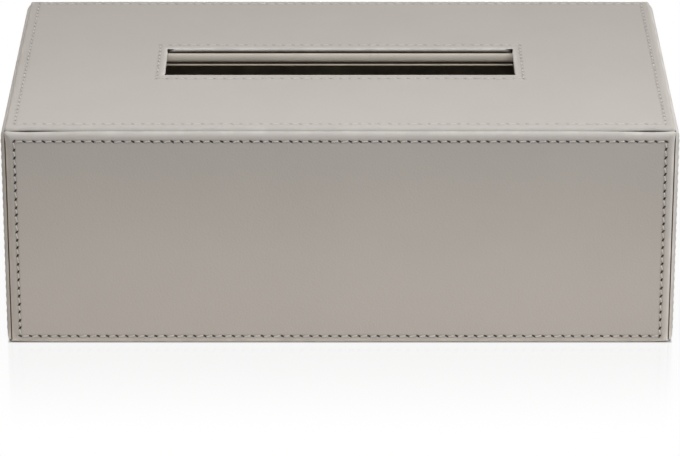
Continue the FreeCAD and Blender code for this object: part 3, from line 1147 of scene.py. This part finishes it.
class COVER_OT_edging(bpy.types.Operator):
    """Lay the leather strips in the slot and under the walls"""

    bl_idname = "cover.edging"
    bl_label = "Edging strips"

    def execute(self, context):
        sizes, _, finish, _ = property_groups()
        material = edging_leather(finish)
        for side in WALLS:
            slot, base = f"slot_edging_{side}", f"base_edging_{side}"
            strip_piece(f"slot_strip_{side}", slot, bead_sections(slot, side), material)
            strip_piece(f"base_strip_{side}", base, bar_sections(base, sizes.edging_round), material)
        return {"FINISHED"}


class COVER_OT_linings(bpy.types.Operator):
    """Line the inside of the walls and the top"""

    bl_idname = "cover.linings"
    bl_label = "Linings"

    def execute(self, context):
        sizes, _, finish, _ = property_groups()
        material = lining_suede(finish)
        for panel in PANELS:
            node = f"{panel}_lining"
            seat = Seat(node, panel)
            profile = rounded_edge(sizes.lining_round, seat.depth)
            halves = np.array([seat.half_u, seat.half_v])
            slot = None
            breaks = even_breaks(step_counts(2 * halves, LINING_STEP))
            if panel == "top":
                hole = slot_half(sizes) + (sizes.end_shy, 0.0)
                sides = step_counts(halves - hole, LINING_STEP)
                counts = step_counts(2 * hole, LINING_STEP)
                slot_rim = Rim(*hole, *even_breaks(counts), sizes.slot_corner, sizes.slot_corner, -1)
                slot = (slot_rim, profile[::-1], (), None, sides)
                breaks = slotted_breaks(halves, hole, sides, counts)
            rim = Rim(*halves, *breaks, sizes.lining_round, sizes.lining_round * LEAST_ROUND)
            shell_piece(f"{panel}_suede", sheet(rim, profile, slot=slot), seat, material, node)
        return {"FINISHED"}


class COVER_OT_carcass(bpy.types.Operator):
    """Finish the boards and stiffeners inside the panels"""

    bl_idname = "cover.carcass"
    bl_label = "Boards and stiffeners"

    def execute(self, context):
        _, _, finish, _ = property_groups()
        for kind, material in (("board", raw_board(finish)), ("stiffener", raw_card(finish))):
            for panel in PANELS:
                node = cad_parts[f"{panel}_{kind}"]
                node.data.materials.clear()
                node.data.materials.append(material)
        return {"FINISHED"}


def add_lamp(name, place, aim, size, watts, tint):
    """Soft square-edged lamp at a place, turned to aim, that the camera doesn't see."""
    lamp = bpy.data.lights.new(name, "AREA")
    lamp.shape = "RECTANGLE"
    lamp.size, lamp.size_y = size
    lamp.energy = watts
    lamp.color = tint
    holder = new_object(name, lamp)
    holder.location = place
    holder.visible_camera = False
    holder.rotation_euler = (Vector(aim) - Vector(place)).to_track_quat("-Z", "Y").to_euler()


class COVER_OT_stage(bpy.types.Operator):
    """Set up the floor, the lamps and the camera"""

    bl_idname = "cover.stage"
    bl_label = "Studio"

    def execute(self, context):
        scene = context.scene
        *_, studio = property_groups()
        scene.view_settings.view_transform = "Standard"
        half_x, half_y = CAD_BOX[1][0], CAD_BOX[1][1]

        lines = np.linspace(-FLOOR_HALF, FLOOR_HALF, FLOOR_LINES)
        shell = Shell()
        shell.grid(lines, lines, 0.0, True)
        mesh = bpy.data.meshes.new("floor")
        mesh.from_pydata(shell.points[0].tolist(), [], shell.faces[0].tolist())
        mesh.materials.append(studio_floor(studio, half_x, half_y))
        floor = new_object("floor", mesh)
        floor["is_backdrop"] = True

        scene.world = studio_world(studio)
        for name, lamp in LAMPS.items():
            tint = studio.coolness if name in COOL_LAMPS else studio.warmth
            add_lamp(name, *lamp, getattr(studio, name), tint)

        lens = bpy.data.cameras.new("camera")
        lens.sensor_width = SENSOR_WIDTH
        lens.lens = studio.camera_lens
        lens.shift_y = -studio.camera_rise / IMAGE_WIDTH
        lens.clip_end = CLIP_END
        camera = new_object("camera", lens)
        camera.location = (0.0, -studio.camera_distance, studio.camera_height)
        camera.rotation_euler = (math.pi / 2 - studio.camera_pitch, 0.0, 0.0)
        scene.camera = camera
        return {"FINISHED"}


OPERATORS = (
    COVER_OT_panels,
    COVER_OT_stitches,
    COVER_OT_edging,
    COVER_OT_linings,
    COVER_OT_carcass,
    COVER_OT_stage,
)


class COVER_PT_panel(bpy.types.Panel):
    """Buttons for the cover's pieces and the studio"""

    bl_label = "Tissue Box Cover"
    bl_idname = "COVER_PT_panel"
    bl_space_type = "VIEW_3D"
    bl_region_type = "UI"
    bl_category = "Cover"

    def draw(self, context):
        for operator in OPERATORS:
            self.layout.operator(operator.bl_idname)
        for key, group in SETTINGS.items():
            box = self.layout.box()
            for name in group.__annotations__:
                box.prop(getattr(context.scene, key), name)


CLASSES = (*SETTINGS.values(), *OPERATORS, COVER_PT_panel)


def register():
    """Registers the classes and puts the property groups on the scene."""
    for cls in CLASSES:
        bpy.utils.register_class(cls)
    for key, group in SETTINGS.items():
        setattr(bpy.types.Scene, key, PointerProperty(type=group))


def unregister():
    """Takes the property groups and the classes away again."""
    for key in SETTINGS:
        delattr(bpy.types.Scene, key)
    for cls in reversed(CLASSES):
        bpy.utils.unregister_class(cls)


def main():
    """Builds the cover and the studio."""
    register()
    bpy.ops.cover.panels()
    bpy.ops.cover.stitches()
    bpy.ops.cover.edging()
    bpy.ops.cover.linings()
    bpy.ops.cover.carcass()
    bpy.ops.cover.stage()
    boxes = {"cad": CAD_BOX, "visual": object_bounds()}
    {key: [list(corner) for corner in box] for key, box in boxes.items()}


if __name__ == "__main__":
    main()
